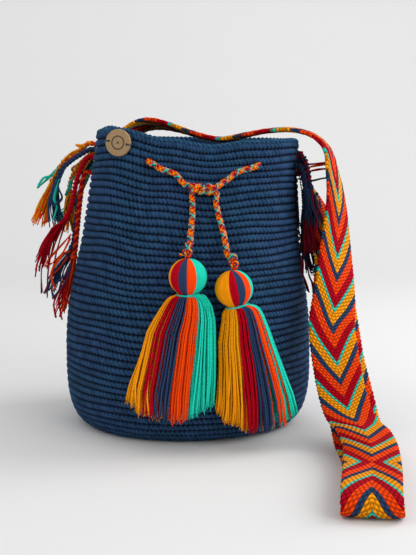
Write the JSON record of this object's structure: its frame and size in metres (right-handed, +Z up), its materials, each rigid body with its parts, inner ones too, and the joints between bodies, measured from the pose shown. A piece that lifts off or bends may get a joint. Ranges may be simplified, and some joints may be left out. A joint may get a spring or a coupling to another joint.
{
  "type": "wayuu mochila bag",
  "caption": "Crocheted denim-blue mochila bucket bag with a woven chevron shoulder strap, a drawstring with multicolour tassels, strap fringes and a wooden tag.",
  "frame": {"origin": "centre of the bag's flat base, on the floor", "axes": "+Z up along the bag's axis, -Y towards the drawstring tassels at the front, +X towards the side where the strap hangs down"},
  "size_m": [0.3451, 0.4712, 0.3142],
  "materials": {
    "denim": "matte cotton yarn",
    "navy": "matte cotton yarn",
    "yellow": "matte cotton yarn",
    "crimson": "matte cotton yarn",
    "orange": "matte cotton yarn",
    "turquoise": "matte cotton yarn",
    "wood": "bare matte wood",
    "mixed": "matte cotton yarn"
  },
  "bodies": {
    "bag": {"bag_body": "denim", "shoulder_strap": "mixed", "drawstring": "mixed", "wooden_tag": "wood", "tag_stitch_left": "navy", "tag_stitch_right": "navy", "fringe_orange_left": "orange", "fringe_navy_left": "navy", "fringe_yellow_left": "yellow", "fringe_crimson_left": "crimson", "fringe_blue_left": "navy", "fringe_red_left": "orange", "fringe_turquoise_left": "turquoise", "fringe_navy_right": "navy", "fringe_crimson_right": "crimson", "fringe_orange_right": "orange", "fringe_green_right": "turquoise"},
    "knot_left": {"tie_knot_left": "mixed"},
    "tassel_left": {"tassel_yellow_left": "yellow", "tassel_crimson_left": "crimson", "tassel_navy_left": "navy", "tassel_orange_left": "orange", "tassel_turquoise_left": "turquoise", "neck_tie_left": "turquoise"},
    "knot_right": {"tie_knot_right": "mixed"},
    "tassel_right": {"tassel_yellow_right": "yellow", "tassel_crimson_right": "crimson", "tassel_navy_right": "navy", "tassel_orange_right": "orange", "tassel_turquoise_right": "turquoise", "neck_tie_right": "turquoise"}
  },
  "joints": [
    {"name": "tassel_left_swing", "type": "hinge", "parent": "bag", "child": "knot_left", "pos_m": [0.002, -0.13447, 0.1871], "axis": [0, 1, 0], "range_deg": [0, 38]},
    {"name": "tassel_left_lift", "type": "hinge", "parent": "knot_left", "child": "tassel_left", "pos_m": [0.002, -0.13447, 0.1871], "axis": [-1, 0, 0], "range_deg": [0, 88]},
    {"name": "tassel_right_swing", "type": "hinge", "parent": "bag", "child": "knot_right", "pos_m": [0.0447, -0.13028, 0.1757], "axis": [0, -1, 0], "range_deg": [0, 38]},
    {"name": "tassel_right_lift", "type": "hinge", "parent": "knot_right", "child": "tassel_right", "pos_m": [0.0447, -0.13028, 0.1757], "axis": [-1, 0, 0], "range_deg": [0, 88]}
  ]
}
